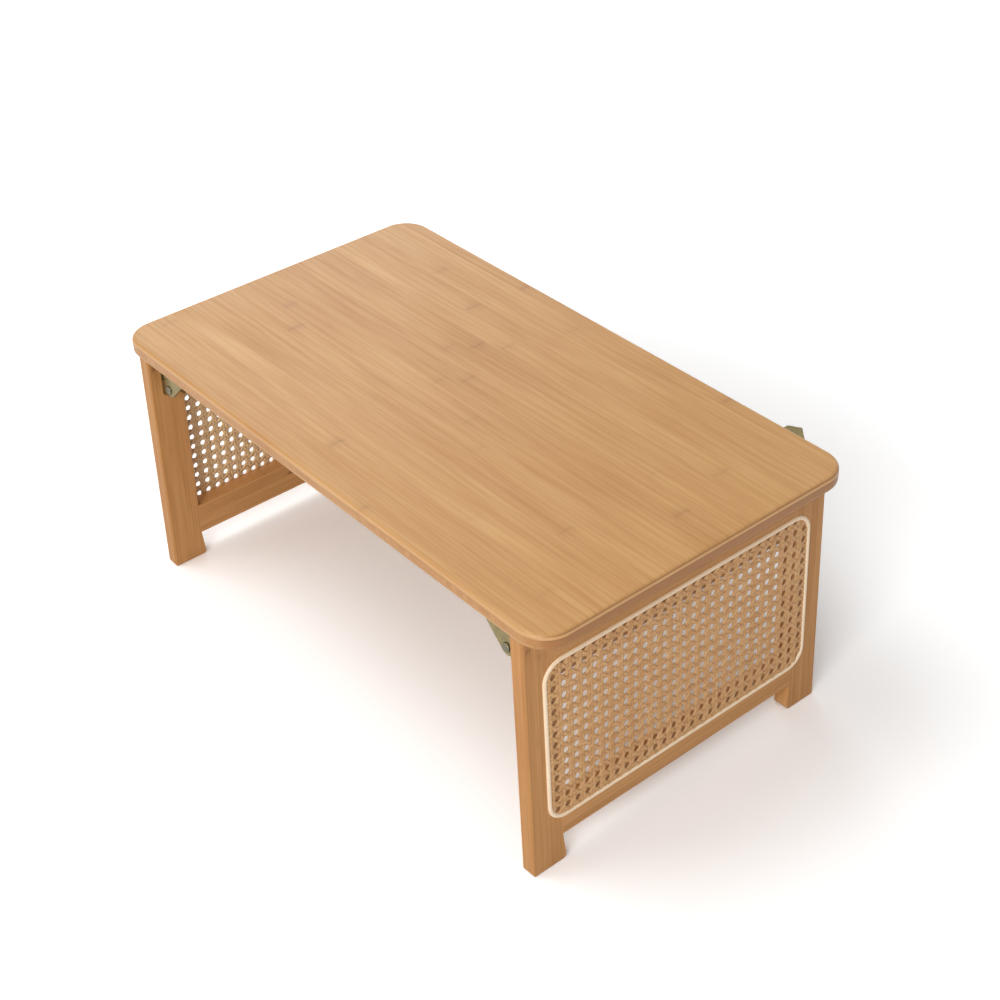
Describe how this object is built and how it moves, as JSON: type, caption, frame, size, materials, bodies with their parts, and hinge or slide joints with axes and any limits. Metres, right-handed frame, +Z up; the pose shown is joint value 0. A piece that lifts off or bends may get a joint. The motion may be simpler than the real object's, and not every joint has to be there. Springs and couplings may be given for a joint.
{
  "type": "folding coffee table",
  "caption": "Low bamboo folding table with a rounded top and two cane-panelled leg frames that fold inwards on spring-locked steel brackets.",
  "frame": {"origin": "on the floor, under the middle of the whole footprint, the finger tab at the rear included, standing open", "axes": "+X along the length of the top, +Y to the rear, where one finger tab stands out at the right end, +Z up"},
  "size_m": [0.6, 0.373, 0.263],
  "materials": {
    "bamboo_top": "satin",
    "bamboo_frame": "satin",
    "cane": "matte",
    "reed": "matte",
    "dowel_wood": "matte",
    "plated_steel": "satin",
    "rivet_steel": "satin",
    "spring_steel": "satin",
    "screw_steel": "satin"
  },
  "bodies": {
    "tabletop": {"tabletop_board": "bamboo_top", "left_front_top_bracket": "plated_steel", "left_front_pivot_rivet": "rivet_steel", "left_front_lever_pin": "rivet_steel", "left_front_leaf_spring": "spring_steel", "left_front_top_screws": "screw_steel", "left_rear_top_bracket": "plated_steel", "left_rear_pivot_rivet": "rivet_steel", "left_rear_lever_pin": "rivet_steel", "left_rear_leaf_spring": "spring_steel", "left_rear_top_screws": "screw_steel", "right_front_top_bracket": "plated_steel", "right_front_pivot_rivet": "rivet_steel", "right_front_lever_pin": "rivet_steel", "right_front_leaf_spring": "spring_steel", "right_front_top_screws": "screw_steel", "right_rear_top_bracket": "plated_steel", "right_rear_pivot_rivet": "rivet_steel", "right_rear_lever_pin": "rivet_steel", "right_rear_leaf_spring": "spring_steel", "right_rear_top_screws": "screw_steel"},
    "left_leg_frame": {"left_front_post": "bamboo_frame", "left_rear_post": "bamboo_frame", "left_upper_rail": "bamboo_frame", "left_lower_rail": "bamboo_frame", "left_cane_panel": "cane", "left_reed_spline": "reed", "left_dowels": "dowel_wood", "left_front_leg_bracket": "plated_steel", "left_front_leg_screws": "screw_steel", "left_rear_leg_bracket": "plated_steel", "left_rear_leg_screws": "screw_steel"},
    "right_leg_frame": {"right_front_post": "bamboo_frame", "right_rear_post": "bamboo_frame", "right_upper_rail": "bamboo_frame", "right_lower_rail": "bamboo_frame", "right_cane_panel": "cane", "right_reed_spline": "reed", "right_dowels": "dowel_wood", "right_front_leg_bracket": "plated_steel", "right_front_leg_screws": "screw_steel", "right_rear_leg_bracket": "plated_steel", "right_rear_leg_screws": "screw_steel"},
    "left_front_lever": {"left_front_lock_lever": "plated_steel"},
    "left_rear_lever": {"left_rear_lock_lever": "plated_steel"},
    "right_front_lever": {"right_front_lock_lever": "plated_steel"},
    "right_rear_lever": {"right_rear_lock_lever": "plated_steel"}
  },
  "joints": [
    {"name": "left_fold", "type": "hinge", "parent": "tabletop", "child": "left_leg_frame", "pos_m": [-0.245, -0.01525, 0.2195], "axis": [0, -1, 0], "range_deg": [0, 92]},
    {"name": "right_fold", "type": "hinge", "parent": "tabletop", "child": "right_leg_frame", "pos_m": [0.245, -0.01525, 0.2195], "axis": [0, 1, 0], "range_deg": [0, 92]},
    {"name": "left_front_lock", "type": "hinge", "parent": "tabletop", "child": "left_front_lever", "pos_m": [-0.22, -0.16595, 0.2418], "axis": [0, 1, 0], "range_deg": [0, 4.5], "deforming": ["left_front_leaf_spring"]},
    {"name": "left_rear_lock", "type": "hinge", "parent": "tabletop", "child": "left_rear_lever", "pos_m": [-0.22, 0.13545, 0.2418], "axis": [0, 1, 0], "range_deg": [0, 4.5], "deforming": ["left_rear_leaf_spring"]},
    {"name": "right_front_lock", "type": "hinge", "parent": "tabletop", "child": "right_front_lever", "pos_m": [0.22, -0.16595, 0.2418], "axis": [0, -1, 0], "range_deg": [0, 4.5], "deforming": ["right_front_leaf_spring"]},
    {"name": "right_rear_lock", "type": "hinge", "parent": "tabletop", "child": "right_rear_lever", "pos_m": [0.22, 0.13545, 0.2418], "axis": [0, -1, 0], "range_deg": [0, 4.5], "deforming": ["right_rear_leaf_spring"]}
  ],
  "couplings": [
    {"joint": "left_front_lock", "follows": "left_fold", "ratio": 0.0489},
    {"joint": "left_rear_lock", "follows": "left_fold", "ratio": 0.0489},
    {"joint": "right_front_lock", "follows": "right_fold", "ratio": 0.0489},
    {"joint": "right_rear_lock", "follows": "right_fold", "ratio": 0.0489}
  ]
}
